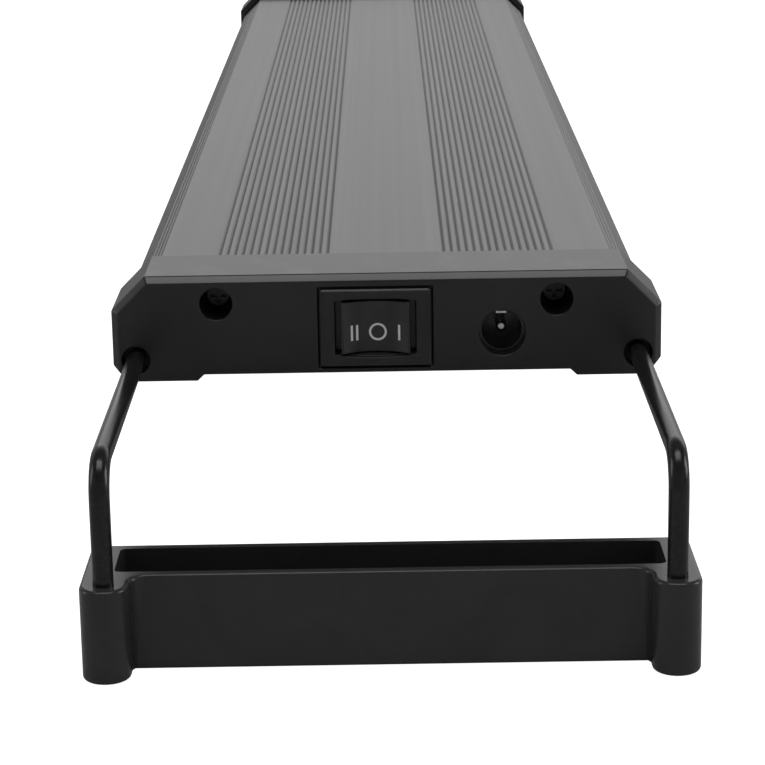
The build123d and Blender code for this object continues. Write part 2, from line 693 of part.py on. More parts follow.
def make_blade():
    with BuildPart() as blade:
        with BuildSketch(at_depth(BLADE_BACK)):
            with Locations((SWITCH_X, SWITCH_Z)):
                Rectangle(BLADE_LENGTH, BLADE_HEIGHT)
        extrude(amount=BLADE_THICKNESS)
        fillet(blade.edges().filter_by(Axis.Y), 0.6)
        with BuildSketch(Plane.XY.offset(SWITCH_Z)):
            with Locations(from_switch(0, BLADE_BACK)):
                Circle(BLADE_BEAD_R)
        extrude(amount=BLADE_HEIGHT / 2, both=True)
    save(blade.part, "switch_contact_blade")


def make_terminals():
    """Three brass tabs: the middle one carries the blade, the outer two have contact heads."""
    head_width, head_thickness = CONTACT_HEAD
    with BuildPart() as terminals:
        with BuildSketch(at_depth(TERMINAL_END)):
            with Locations((SWITCH_X, SWITCH_Z)):
                Rectangle(TERMINAL_THICKNESS, TERMINAL_HEIGHT)
        extrude(amount=TERMINAL_END - BLADE_BACK - CONTACT_GAP)
        with BuildSketch(at_depth(TERMINAL_END)):
            with Locations(*[(SWITCH_X + i * TERMINAL_SPACING, SWITCH_Z) for i in (-1, 1)]):
                Rectangle(TERMINAL_THICKNESS, TERMINAL_HEIGHT)
        extrude(amount=TERMINAL_END - CONTACT_DEPTH)
        with BuildSketch(at_depth(CONTACT_DEPTH + head_thickness)):
            inwards = (head_width - TERMINAL_THICKNESS) / 2
            with Locations(*[(SWITCH_X + i * (TERMINAL_SPACING - inwards), SWITCH_Z) for i in (-1, 1)]):
                Rectangle(head_width, TERMINAL_HEIGHT)
        extrude(amount=head_thickness)
    save(terminals.part, "switch_terminals")


# ---- Power inlet ----

JACK_SHOULDER = JACK_SEAT + JACK_LENGTH
JACK_END = JACK_SHOULDER + JACK_TAIL_LENGTH
JACK_BORE_END = JACK_SEAT + JACK_BORE_DEPTH
TAG_END = JACK_END + JACK_TAG[2]


def make_jack_body():
    with BuildPart() as jack:
        with BuildSketch(at_depth(JACK_SHOULDER)):
            with Locations((JACK_X, JACK_Z)):
                Circle(JACK_R)
        extrude(amount=JACK_LENGTH)
        with BuildSketch(at_depth(JACK_END)):
            with Locations((JACK_X, JACK_Z)):
                Circle(JACK_TAIL_R)
        extrude(amount=JACK_END - JACK_SHOULDER)
        with BuildSketch(at_depth(JACK_BORE_END)):
            with Locations((JACK_X, JACK_Z)):
                Circle(JACK_BORE_R)
        extrude(amount=JACK_BORE_DEPTH, mode=Mode.SUBTRACT)
        # passages for the pin and for the negative spring
        with BuildSketch(at_depth(JACK_END)):
            with Locations((JACK_X, JACK_Z)):
                Circle(JACK_PIN_R)
            with Locations((JACK_X, JACK_Z + JACK_TAG_OFFSET)):
                Rectangle(JACK_TAG[0], JACK_TAG[1])
        extrude(amount=JACK_END - JACK_BORE_END, mode=Mode.SUBTRACT)
    save(jack.part, "dc_jack_body")


def make_jack_pin():
    """Centre pin with its solder tag behind the body."""
    with BuildPart() as pin:
        with BuildSketch(at_depth(JACK_END)):
            with Locations((JACK_X, JACK_Z)):
                Circle(JACK_PIN_R)
        extrude(amount=JACK_END - JACK_PIN_TIP)
        fillet(pin.faces().sort_by(Axis.Y)[0].edges(), JACK_PIN_R * 0.6)
        with BuildSketch(at_depth(TAG_END)):
            with Locations((JACK_X, JACK_Z)):
                Rectangle(JACK_TAG[1], JACK_TAG[0])
        extrude(amount=JACK_TAG[2])
    save(pin.part, "dc_jack_pin")


def make_jack_contact():
    """Leaf spring along the bore's roof, with the negative solder tag."""
    width, thickness, length = JACK_TAG
    leaf_front = JACK_SEAT + JACK_SPRING_START
    with BuildPart() as contact:
        with BuildSketch(at_depth(TAG_END)):
            with Locations((JACK_X, JACK_Z + JACK_TAG_OFFSET)):
                Rectangle(width, thickness)
        extrude(amount=TAG_END - JACK_BORE_END + 0.4)
        with BuildSketch(at_depth(JACK_BORE_END)):
            with Locations((JACK_X, JACK_Z + JACK_TAG_OFFSET)):
                Rectangle(width, JACK_SPRING_THICKNESS)
        extrude(amount=JACK_BORE_END - leaf_front)
    save(contact.part, "dc_jack_contact")


def make_lock_ring():
    with BuildPart() as ring:
        with BuildSketch(at_depth(JACK_SHOULDER + LOCK_RING_LENGTH)):
            with Locations((JACK_X, JACK_Z)):
                Circle(JACK_R)
                Circle(JACK_TAIL_R + LOCK_RING_PLAY, mode=Mode.SUBTRACT)
        extrude(amount=LOCK_RING_LENGTH)
        with BuildSketch(at_depth(JACK_SHOULDER + LOCK_RING_LENGTH)):
            with Locations((JACK_X, JACK_Z)):
                Rectangle(2 * JACK_R, 1.2)
        extrude(amount=LOCK_RING_LENGTH / 2, mode=Mode.SUBTRACT)
    save(ring.part, "dc_jack_lock_ring")


# ---- Inner wires ----


def make_wire(name, points, radii):
    """Insulated wire along straight runs with rounded corners; points are x, depth, z."""
    route = [(x, depth - BODY_LENGTH / 2, z) for x, depth, z in points]
    with BuildPart() as wire:
        with BuildLine() as path:
            FilletPolyline(*route, radius=radii)
        with BuildSketch(Plane(origin=path.line @ 0, z_dir=path.line % 0)):
            Circle(WIRE_R)
        sweep()
    save(wire.part, name)


def make_wires():
    tab_end = TERMINAL_END + WIRE_GAP
    low = SWITCH_Z - WIRE_OFFSET
    high = SWITCH_Z + WIRE_OFFSET
    crossing = tab_end + WIRE_REACH
    climb = tab_end + WIRE_CLIMB
    pad = BOARD_BOTTOM - WIRE_GAP
    tag_end = TAG_END + WIRE_GAP
    make_wire("wire_inlet_positive",
              [(JACK_X, tag_end, low), (JACK_X, crossing, low),
               (SWITCH_X, crossing, low), (SWITCH_X, tab_end, low)], WIRE_BEND)
    negative_z = JACK_Z + JACK_TAG_OFFSET
    make_wire("wire_inlet_negative",
              [(JACK_X, tag_end, negative_z), (JACK_X, climb, negative_z), (JACK_X, climb, pad)],
              WIRE_BEND * 0.8)
    for name, hand in (("wire_white_leds", 1), ("wire_blue_leds", -1)):
        x = SWITCH_X + hand * TERMINAL_SPACING
        make_wire(name, [(x, tab_end, high), (x, climb, high), (x, climb, pad)], WIRE_BEND * 0.8)


# ---- Brackets: two legs and a foot at each end ----


def make_leg(hand):
    """Wire leg: a level run in the housing, an elbow, and an upright down into the foot."""
    x = hand * LEG_X
    with BuildPart() as leg:
        with BuildLine() as path:
            FilletPolyline((x, UPRIGHT_Y, LEG_HOLE_FLOOR),
                           (x, UPRIGHT_Y, LEG_HEIGHT),
                           (x, UPRIGHT_Y + LEG_RUN, LEG_HEIGHT), radius=LEG_BEND)
        with BuildSketch(Plane(origin=path.line @ 0, z_dir=path.line % 0)):
            Circle(LEG_R)
        sweep()
        chamfer(leg.faces().sort_by(Axis.Y)[-1].edges(), LEG_END_CHAMFER)
    return leg.part


def make_foot():
    """Moulded foot: a front plate between two bosses, a back wall, and a web over the rim slot."""
    block_x = FOOT_HALF - END_BLOCK
    middle_y = (PLATE_FRONT + FOOT_BACK) / 2
    slot_middle = (SLOT_FRONT + SLOT_BACK) / 2
    slot_width = SLOT_BACK - SLOT_FRONT
    with BuildPart() as foot:
        with BuildSketch(Plane.XY) as plan:
            with Locations((0, middle_y)):
                Rectangle(2 * FOOT_HALF, FOOT_BACK - PLATE_FRONT)
            for hand in (-1, 1):
                with Locations((hand * LEG_X, UPRIGHT_Y)):
                    Circle(BOSS_R)
                with Locations((hand * LEG_X, (UPRIGHT_Y + PLATE_FRONT) / 2)):
                    Rectangle(2 * BOSS_R, PLATE_FRONT - UPRIGHT_Y)
            inner_corners = plan.vertices().filter_by(
                lambda v: abs(v.Y - PLATE_FRONT) < 0.01 and abs(v.X) < LEG_X)
            fillet(inner_corners, FOOT_FILLET)
            fillet(plan.vertices().group_by(Axis.Y)[-1], FOOT_CORNER_R)
        extrude(amount=FOOT_HEIGHT)
        fillet(foot.faces().sort_by(Axis.Z)[-1].edges(), FOOT_EDGE_R)
        fillet(foot.faces().sort_by(Axis.Z)[0].edges(), FOOT_EDGE_R)
        # the plate's face leans back
        shoulder = FOOT_HEIGHT - FOOT_EDGE_R
        with BuildSketch(Plane.YZ) as wedge:
            with BuildLine():
                Polyline((PLATE_FRONT + FOOT_EDGE_R, 0), (PLATE_FRONT - PLATE_RAKE, 0),
                         (PLATE_FRONT, shoulder), (PLATE_FRONT + FOOT_EDGE_R, shoulder), close=True)
            make_face()
            fillet(wedge.vertices().sort_by(Axis.X)[0], FOOT_EDGE_R)
        extrude(amount=LEG_X, both=True)
        with BuildSketch(Plane.XY.offset(FOOT_HEIGHT)) as trough:
            with Locations((0, slot_middle)):
                Rectangle(2 * block_x, slot_width)
            fillet(trough.vertices(), FOOT_CORNER_R)
        extrude(amount=-(FOOT_HEIGHT - RIM_SLOT_DEPTH - WEB_THICKNESS), mode=Mode.SUBTRACT)
        with BuildSketch(Plane.XY):
            with Locations((0, slot_middle)):
                Rectangle(3 * FOOT_HALF, slot_width)
        extrude(amount=RIM_SLOT_DEPTH, mode=Mode.SUBTRACT)
        with BuildSketch(Plane.XY.offset(LEG_HOLE_FLOOR)):
            with Locations((-LEG_X, UPRIGHT_Y), (LEG_X, UPRIGHT_Y)):
                Circle(LEG_R + LEG_SEAT_PLAY)
        extrude(amount=FOOT_HEIGHT, mode=Mode.SUBTRACT)
    return foot.part


make_housing()
make_lens()
make_board()
make_leds("white_leds", blue=False)
make_leds("blue_leds", blue=True)
make_board_screws()
make_resistors()
save(make_end_cap(with_controls=True), "front_end_cap")
save(turned_to_rear(make_end_cap(with_controls=False)), "rear_end_cap")
save(make_cap_screws(), "front_cap_screws")
save(turned_to_rear(make_cap_screws()), "rear_cap_screws")
save(make_bushes(), "front_leg_bushes")
save(turned_to_rear(make_bushes()), "rear_leg_bushes")
make_switch_housing()
make_rocker()
make_plunger()
make_spring()
make_blade()
make_terminals()
make_jack_body()
make_jack_pin()
make_jack_contact()
make_lock_ring()
make_wires()
save(make_leg(-1), "front_leg_left")
save(make_leg(1), "front_leg_right")
save(turned_to_rear(make_leg(1)), "rear_leg_left")
save(turned_to_rear(make_leg(-1)), "rear_leg_right")
save(make_foot(), "front_foot")
save(turned_to_rear(make_foot()), "rear_foot")
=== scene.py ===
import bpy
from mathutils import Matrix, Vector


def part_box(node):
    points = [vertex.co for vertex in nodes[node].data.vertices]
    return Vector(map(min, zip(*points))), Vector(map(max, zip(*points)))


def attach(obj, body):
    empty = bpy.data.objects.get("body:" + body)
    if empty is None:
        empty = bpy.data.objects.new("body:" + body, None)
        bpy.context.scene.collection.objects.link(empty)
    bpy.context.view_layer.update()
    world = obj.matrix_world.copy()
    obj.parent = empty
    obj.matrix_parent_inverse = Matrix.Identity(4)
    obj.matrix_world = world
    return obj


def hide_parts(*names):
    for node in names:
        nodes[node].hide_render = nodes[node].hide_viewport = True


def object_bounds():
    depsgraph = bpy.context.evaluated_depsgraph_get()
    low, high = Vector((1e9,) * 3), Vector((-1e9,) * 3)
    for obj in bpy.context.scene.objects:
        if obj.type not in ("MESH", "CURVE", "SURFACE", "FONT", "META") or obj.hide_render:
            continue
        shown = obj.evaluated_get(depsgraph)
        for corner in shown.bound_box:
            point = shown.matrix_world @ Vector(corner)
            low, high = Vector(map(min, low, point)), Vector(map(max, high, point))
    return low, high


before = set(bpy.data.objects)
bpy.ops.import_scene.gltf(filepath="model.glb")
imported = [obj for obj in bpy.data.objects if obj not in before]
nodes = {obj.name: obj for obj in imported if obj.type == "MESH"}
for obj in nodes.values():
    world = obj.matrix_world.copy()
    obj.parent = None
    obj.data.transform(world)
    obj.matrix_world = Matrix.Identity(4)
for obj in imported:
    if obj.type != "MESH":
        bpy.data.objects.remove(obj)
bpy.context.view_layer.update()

import bpy
import bmesh
from math import pi, radians
from mathutils import Matrix, Vector
from mathutils.bvhtree import BVHTree

MM = 0.001

# ---- Camera ----
# A long lens at the switch end, a little above the light, looking down along it and rolled by
# about a degree.
LOOKING_DOWN = 15.22        # degrees
PANNED = 0.155
ROLLED = -0.952
camera_data = bpy.data.cameras.new("camera")
camera_data.sensor_width = 36.0
camera_data.lens = 119.1
camera = bpy.data.objects.new("camera", camera_data)
bpy.context.scene.collection.objects.link(camera)
camera.matrix_world = (
    Matrix.Translation((0.0003, -0.7098, 0.1584))
    @ Matrix.Rotation(radians(PANNED), 4, "Z")
    @ Matrix.Rotation(radians(90.0 - LOOKING_DOWN), 4, "X")
    @ Matrix.Rotation(radians(ROLLED), 4, "Z")
)
bpy.context.scene.camera = camera

# ---- Studio ----
# A white floor that the lights wash out, which is clear from below, a lit white backdrop low behind
# the light and stronger to the right, an overhead, a back and two side panels, and a dim room.
FLOOR_GAP = 0.1 * MM        # keeps the floor clear of the feet
FLOOR_GLOW = 1.0
floor_mesh = bpy.data.meshes.new("floor")
bm = bmesh.new()
bmesh.ops.create_grid(bm, x_segments=1, y_segments=1, size=6.0)
bm.to_mesh(floor_mesh)
bm.free()
floor = bpy.data.objects.new("floor", floor_mesh)
bpy.context.scene.collection.objects.link(floor)
floor.location.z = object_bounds()[0].z - FLOOR_GAP
floor_paint = bpy.data.materials.new("white_floor")
floor_paint.use_nodes = True
tree = floor_paint.node_tree
floor_shader = tree.nodes["Principled BSDF"]
floor_shader.inputs["Base Color"].default_value = (0.60, 0.60, 0.60, 1.0)
floor_shader.inputs["Roughness"].default_value = 0.9
glow = tree.nodes.new("ShaderNodeEmission")
glow.inputs["Strength"].default_value = FLOOR_GLOW
washed_out = tree.nodes.new("ShaderNodeAddShader")
tree.links.new(floor_shader.outputs["BSDF"], washed_out.inputs[0])
tree.links.new(glow.outputs["Emission"], washed_out.inputs[1])
seen = tree.nodes.new("ShaderNodeLightPath")
from_above = tree.nodes.new("ShaderNodeMixShader")
tree.links.new(seen.outputs["Is Camera Ray"], from_above.inputs["Fac"])
tree.links.new(floor_shader.outputs["BSDF"], from_above.inputs[1])
tree.links.new(washed_out.outputs["Shader"], from_above.inputs[2])
side = tree.nodes.new("ShaderNodeNewGeometry")
clear = tree.nodes.new("ShaderNodeBsdfTransparent")
either_side = tree.nodes.new("ShaderNodeMixShader")
tree.links.new(side.outputs["Backfacing"], either_side.inputs["Fac"])
tree.links.new(from_above.outputs["Shader"], either_side.inputs[1])
tree.links.new(clear.outputs["BSDF"], either_side.inputs[2])
tree.links.new(either_side.outputs["Shader"], tree.nodes["Material Output"].inputs["Surface"])
floor_mesh.materials.append(floor_paint)

BACKDROP = 0.09
ROOM_LOW = 0.28             # light of the room's walls
ROOM_HIGH = 0.12            # and of its ceiling
room = bpy.data.worlds.new("room")
bpy.context.scene.world = room
room.use_nodes = True
room_tree = room.node_tree
direction = room_tree.nodes.new("ShaderNodeTexCoord")
compass = room_tree.nodes.new("ShaderNodeSeparateXYZ")
room_tree.links.new(direction.outputs["Generated"], compass.inputs[0])


def room_range(axis, start, end, low, high):
    """Light that goes smoothly from low to high as this part of the direction goes from start to end."""
    made = room_tree.nodes.new("ShaderNodeMapRange")
    made.interpolation_type = "SMOOTHSTEP"
    made.inputs["From Min"].default_value = start
    made.inputs["From Max"].default_value = end
    made.inputs["To Min"].default_value = low
    made.inputs["To Max"].default_value = high
    room_tree.links.new(compass.outputs[axis], made.inputs["Value"])
    return made.outputs["Result"]


def room_sum(operation, first, second):
    """Two lights multiplied or added."""
    made = room_tree.nodes.new("ShaderNodeMath")
    made.operation = operation
    room_tree.links.new(first, made.inputs[0])
    room_tree.links.new(second, made.inputs[1])
    return made.outputs[0]


behind = room_range("Y", 0.35, 0.75, 0.0, BACKDROP)
low_down = room_range("Z", 0.40, 0.72, 1.0, 0.0)
to_the_right = room_range("X", -0.45, 0.45, 0.78, 1.30)
backdrop = room_sum("MULTIPLY", room_sum("MULTIPLY", behind, low_down), to_the_right)
walls = room_range("Z", 0.45, 0.75, ROOM_LOW, ROOM_HIGH)
background = room_tree.nodes["Background"]
room_tree.links.new(room_sum("ADD", backdrop, walls), background.inputs["Strength"])
background.inputs["Color"].default_value = (1.0, 1.0, 1.0, 1.0)


def softbox(name, place, aim, width, height, power):
    """Rectangular studio panel that faces the point it aims at."""
    data = bpy.data.lights.new(name, "AREA")
    data.shape = "RECTANGLE"
    data.size = width
    data.size_y = height
    data.energy = power
    lamp = bpy.data.objects.new(name, data)
    bpy.context.scene.collection.objects.link(lamp)
    lamp.location = place
    lamp.rotation_euler = (Vector(aim) - Vector(place)).to_track_quat("-Z", "Y").to_euler()


softbox("overhead_panel", (0.0, -0.42, 1.3), (0.0, -0.25, 0.0), 1.1, 0.55, 7.0)
softbox("back_panel", (0.45, 1.9, 0.75), (0.0, 0.1, 0.0), 2.6, 0.9, 5.0)
softbox("left_panel", (-1.4, -0.1, 0.5), (0.0, -0.1, 0.05), 0.5, 0.7, 2.4)
softbox("right_panel", (1.4, -0.1, 0.5), (0.0, -0.1, 0.05), 0.5, 0.7, 5.0)
bpy.context.scene.view_settings.view_transform = "Standard"

# ---- Housing ----
# One aluminium extrusion, sawn to length and anodised dark grey. Its finish is satin, with the
# faint draw lines of the die along it, a fine etched grain, and a little dust in the open.


def new_material(name):
    """Material with its tree and its Principled shader."""
    made = bpy.data.materials.new(name)
    made.use_nodes = True
    return made, made.node_tree, made.node_tree.nodes["Principled BSDF"]


def finish_with(names, made):
    """Gives CAD pieces their finish."""
    for name in names:
        for slot in nodes[name].material_slots:
            slot.material = made


def object_place(tree):
    """Place on the piece, in metres."""
    return tree.nodes.new("ShaderNodeTexCoord").outputs["Object"]


def noise(tree, vector, scale, detail=2.0, roughness=0.5):
    made = tree.nodes.new("ShaderNodeTexNoise")
    made.inputs["Scale"].default_value = scale
    made.inputs["Detail"].default_value = detail
    made.inputs["Roughness"].default_value = roughness
    tree.links.new(vector, made.inputs["Vector"])
    return made.outputs["Fac"]


def spread_to(tree, value, low, high, start=0.3, end=0.7):
    """The value from start to end becomes low to high, and stays there beyond them."""
    made = tree.nodes.new("ShaderNodeMapRange")
    made.inputs["From Min"].default_value = start
    made.inputs["From Max"].default_value = end
    made.inputs["To Min"].default_value = low
    made.inputs["To Max"].default_value = high
    tree.links.new(value, made.inputs["Value"])
    return made.outputs["Result"]


def blend_colours(tree, mask, below, above):
    """Colour below where the mask is 0 and above where it is 1. Each is a colour or a socket."""
    made = tree.nodes.new("ShaderNodeMix")
    made.data_type = "RGBA"
    for socket, colour in ((made.inputs[6], below), (made.inputs[7], above)):
        if isinstance(colour, tuple):
            socket.default_value = colour + (1.0,)
        else:
            tree.links.new(colour, socket)
    tree.links.new(mask, made.inputs["Factor"])
    return made.outputs[2]


def stretched(tree, vector, scale):
    made = tree.nodes.new("ShaderNodeMapping")
    made.inputs["Scale"].default_value = scale
    tree.links.new(vector, made.inputs["Vector"])
    return made.outputs["Vector"]


def bump(tree, height, strength, distance, normal=None):
    made = tree.nodes.new("ShaderNodeBump")
    made.inputs["Strength"].default_value = strength
    made.inputs["Distance"].default_value = distance
    tree.links.new(height, made.inputs["Height"])
    if normal:
        tree.links.new(normal, made.inputs["Normal"])
    return made.outputs["Normal"]


def new_group(name, inputs, outputs):
    """Shader node group with named sockets, each a name and a type."""
    group = bpy.data.node_groups.new(name, "ShaderNodeTree")
    for socket, kind, default in inputs:
        made = group.interface.new_socket(socket, in_out="INPUT", socket_type=kind)
        if default is not None:
            made.default_value = default
    for socket, kind in outputs:
        group.interface.new_socket(socket, in_out="OUTPUT", socket_type=kind)
    return group, group.nodes.new("NodeGroupInput"), group.nodes.new("NodeGroupOutput")


def placed(tree, group, **values):
    """The group placed in a material, with its own values."""
    made = tree.nodes.new("ShaderNodeGroup")
    made.node_tree = group
    for name, value in values.items():
        made.inputs[name.replace("_", " ")].default_value = value
    return made


def dust_group():
    """Fine dust that has settled on faces that look up: a thin film in patches, and specks."""
    group, given, out = new_group(
        "settled_dust",
        [("Film", "NodeSocketFloat", 0.5), ("Specks", "NodeSocketFloat", 0.5)],
        [("Mask", "NodeSocketFloat")])
    place = object_place(group)
    facing = group.nodes.new("ShaderNodeSeparateXYZ")
    group.links.new(group.nodes.new("ShaderNodeNewGeometry").outputs["Normal"], facing.inputs[0])
    upwards = spread_to(group, facing.outputs["Z"], 0.0, 1.0, 0.2, 0.95)
    patches = spread_to(group, noise(group, place, 28.0, 5.0, 0.6), 0.0, 1.0, 0.42, 0.75)
    film = group.nodes.new("ShaderNodeMath")
    film.operation = "MULTIPLY"
    group.links.new(patches, film.inputs[0])
    group.links.new(given.outputs["Film"], film.inputs[1])
    dots = group.nodes.new("ShaderNodeTexVoronoi")
    dots.inputs["Scale"].default_value = 420.0
    dots.inputs["Randomness"].default_value = 1.0
    group.links.new(place, dots.inputs["Vector"])
    near = spread_to(group, dots.outputs["Distance"], 1.0, 0.0, 0.02, 0.06)
    chosen = spread_to(group, noise(group, place, 190.0, 1.0), 0.0, 1.0, 0.60, 0.66)
    speck = group.nodes.new("ShaderNodeMath")
    speck.operation = "MULTIPLY"
    group.links.new(near, speck.inputs[0])
    group.links.new(chosen, speck.inputs[1])
    weighed = group.nodes.new("ShaderNodeMath")
    weighed.operation = "MULTIPLY_ADD"
    group.links.new(speck.outputs[0], weighed.inputs[0])
    group.links.new(given.outputs["Specks"], weighed.inputs[1])
    group.links.new(film.outputs[0], weighed.inputs[2])
    settled = group.nodes.new("ShaderNodeMath")
    settled.operation = "MULTIPLY"
    settled.use_clamp = True
    group.links.new(weighed.outputs[0], settled.inputs[0])
    group.links.new(upwards, settled.inputs[1])
    group.links.new(settled.outputs[0], out.inputs["Mask"])
    return group


settled_dust = dust_group()

anodised, tree, shader = new_material("dark_anodised_aluminium")
place = object_place(tree)
draw_lines = noise(tree, stretched(tree, place, (700.0, 1.5, 700.0)), 1.0, 3.0)
clouds = noise(tree, stretched(tree, place, (14.0, 3.0, 14.0)), 1.0, 2.0)
etch = noise(tree, place, 5200.0, 2.0)
lines_mask = spread_to(tree, draw_lines, 0.0, 1.0, 0.35, 0.65)
colour = blend_colours(tree, lines_mask, (0.120, 0.120, 0.1225), (0.132, 0.132, 0.1345))
colour = blend_colours(tree, spread_to(tree, clouds, 0.0, 0.5), colour, (0.150, 0.150, 0.152))
dust = placed(tree, settled_dust, Film=0.03, Specks=0.30)
colour = blend_colours(tree, dust.outputs["Mask"], colour, (0.33, 0.33, 0.32))
tree.links.new(colour, shader.inputs["Base Color"])
gloss = spread_to(tree, draw_lines, 0.335, 0.360, 0.35, 0.65)
tree.links.new(gloss, shader.inputs["Roughness"])
duller = spread_to(tree, dust.outputs["Mask"], 1.0, 0.4, 0.0, 1.0)
tree.links.new(duller, shader.inputs["Metallic"])
grain = bump(tree, etch, 0.10, 0.00002)
tree.links.new(bump(tree, draw_lines, 0.03, 0.00002, grain), shader.inputs["Normal"])
finish_with(["housing_extrusion"], anodised)

# ---- End caps ----
# Injection moulded black ABS, pushed over the ends of the extrusion and held by two screws each.
# The moulding has a fine spark-eroded grain, soft edges where it left the mould, and rub marks.


def moulding_group():
    """Grain and unevenness of a black moulding: a fine grain, flow marks, and rubbed patches."""
    group, given, out = new_group(
        "moulded_surface",
        [("Grain Size", "NodeSocketFloat", 2600.0), ("Flow Size", "NodeSocketFloat", 60.0)],
        [("Height", "NodeSocketFloat"), ("Flow", "NodeSocketFloat"), ("Rubbed", "NodeSocketFloat")])
    place = object_place(group)
    fine = group.nodes.new("ShaderNodeTexNoise")
    fine.inputs["Detail"].default_value = 3.0
    group.links.new(place, fine.inputs["Vector"])
    group.links.new(given.outputs["Grain Size"], fine.inputs["Scale"])
    group.links.new(fine.outputs["Fac"], out.inputs["Height"])
    flow = group.nodes.new("ShaderNodeTexNoise")
    flow.inputs["Detail"].default_value = 4.0
    flow.inputs["Distortion"].default_value = 0.8
    group.links.new(place, flow.inputs["Vector"])
    group.links.new(given.outputs["Flow Size"], flow.inputs["Scale"])
    group.links.new(spread_to(group, flow.outputs["Fac"], 0.0, 1.0, 0.35, 0.68), out.inputs["Flow"])
    rubs = noise(group, stretched(group, place, (160.0, 90.0, 420.0)), 1.0, 6.0, 0.65)
    group.links.new(spread_to(group, rubs, 0.0, 1.0, 0.52, 0.72), out.inputs["Rubbed"])
    return group


moulded_surface = moulding_group()


def moulding_material(name, dark, light, smooth, rough, grain, dusting, cool=0.0005, shine=0.5):
    """Black moulded plastic, from dark to light and from smooth to rough. Cool is its trace of blue."""
    made, tree, shader = new_material(name)
    surface = placed(tree, moulded_surface)
    flow = surface.outputs["Flow"]
    colour = blend_colours(tree, flow, (dark, dark, dark + cool), (light, light, light + cool))
    dust = placed(tree, settled_dust, Film=0.01 * dusting, Specks=dusting)
    colour = blend_colours(tree, dust.outputs["Mask"], colour, (0.22, 0.22, 0.21))
    tree.links.new(colour, shader.inputs["Base Color"])
    gloss = spread_to(tree, surface.outputs["Rubbed"], rough, smooth, 0.0, 1.0)
    tree.links.new(gloss, shader.inputs["Roughness"])
    tree.links.new(bump(tree, surface.outputs["Height"], grain, 0.00003), shader.inputs["Normal"])
    shader.inputs["Specular IOR Level"].default_value = shine
    return made


MERGE_DISTANCE = 0.002 * MM
FLAT_ANGLE = radians(0.5)
SHARP_ANGLE = radians(24)
SMOOTH_ANGLE = radians(32)


def rounded_copy(name, body, made, width, chosen):
    """Copy of a CAD piece with its chosen sharp edges rounded, shown in that piece's place."""
    mesh = bpy.data.meshes.new(name + "_moulded")
    bm = bmesh.new()
    bm.from_mesh(nodes[name].data)
    bmesh.ops.remove_doubles(bm, verts=bm.verts, dist=MERGE_DISTANCE)
    bmesh.ops.dissolve_limit(bm, angle_limit=FLAT_ANGLE, verts=bm.verts, edges=bm.edges)
    sharp = [edge for edge in bm.edges if edge.is_manifold and edge.calc_face_angle() > SHARP_ANGLE]
    picked = [edge for edge in sharp if chosen((edge.verts[0].co + edge.verts[1].co) / 2)]
    bmesh.ops.bevel(bm, geom=picked, offset=width, offset_type="OFFSET", segments=3, profile=0.5,
                    affect="EDGES", material=-1, clamp_overlap=False)
    for edge in bm.edges:
        edge.smooth = edge.is_manifold and edge.calc_face_angle() < SMOOTH_ANGLE
    for face in bm.faces:
        face.smooth = True
    bm.to_mesh(mesh)
    bm.free()
    if "custom_normal" in mesh.attributes:
        mesh.attributes.remove(mesh.attributes["custom_normal"])
    mesh.materials.clear()
    mesh.materials.append(made)
    piece = bpy.data.objects.new(name + "_moulded", mesh)
    bpy.context.scene.collection.objects.link(piece)
    even = piece.modifiers.new("even_shading", "WEIGHTED_NORMAL")
    even.keep_sharp = True
    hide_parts(name)
    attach(piece, body)


cap_black = moulding_material("cap_black", 0.009, 0.014, 0.285, 0.315, 0.30, 0.12)
cap_low, cap_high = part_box("front_end_cap")
CAP_BEVEL = 1.6 * MM         # a little more than the bevel round the face
CAP_SHOULDER = 7.0 * MM      # and than the shoulders
CAP_ROOF = 1.4 * MM


def on_cap_outside(point):
    """Is this on the outside of a cap, seen from either end?"""
    depth = min(abs(abs(point.y) - abs(cap_low.y)), abs(abs(point.y) - abs(cap_high.y)))
    at_side = abs(point.x) > cap_high.x - CAP_SHOULDER
    return depth < CAP_BEVEL or at_side or point.z > cap_high.z - CAP_ROOF


CAP_ROUNDING = 0.26 * MM
for name in ("front_end_cap", "rear_end_cap"):
    rounded_copy(name, "housing", cap_black, CAP_ROUNDING, on_cap_outside)

# ---- Cap screws and leg bushes ----
# Pan head machine screws in black zinc at the bottom of the cap's wells, and the sleeves of black
# nylon, pressed into the cap, that the legs slide in.


def mottled_material(name, colours, roughness, scale, detail, relief, metal=0.0, depth=0.00002, grit=0.5):
    """Finish whose colour, gloss and height follow one noise, with one scale or one for each axis."""
    made, tree, shader = new_material(name)
    place = object_place(tree)
    if isinstance(scale, tuple):
        place, scale = stretched(tree, place, scale), 1.0
    mottle = noise(tree, place, scale, detail, grit)
    colour = blend_colours(tree, spread_to(tree, mottle, 0.0, 1.0), *colours)
    tree.links.new(colour, shader.inputs["Base Color"])
    tree.links.new(spread_to(tree, mottle, *roughness), shader.inputs["Roughness"])
    tree.links.new(bump(tree, mottle, relief, depth), shader.inputs["Normal"])
    shader.inputs["Metallic"].default_value = metal
    return made


black_zinc = mottled_material("black_zinc", ((0.022, 0.022, 0.023), (0.045, 0.045, 0.046)), (0.20, 0.34),
                              900.0, 3.0, 0.15, metal=1.0)
finish_with(["front_cap_screws", "rear_cap_screws"], black_zinc)

bush_nylon = moulding_material("bush_nylon", 0.012, 0.022, 0.38, 0.55, 0.20, 0.0, cool=0.0)
finish_with(["front_leg_bushes", "rear_leg_bushes"], bush_nylon)

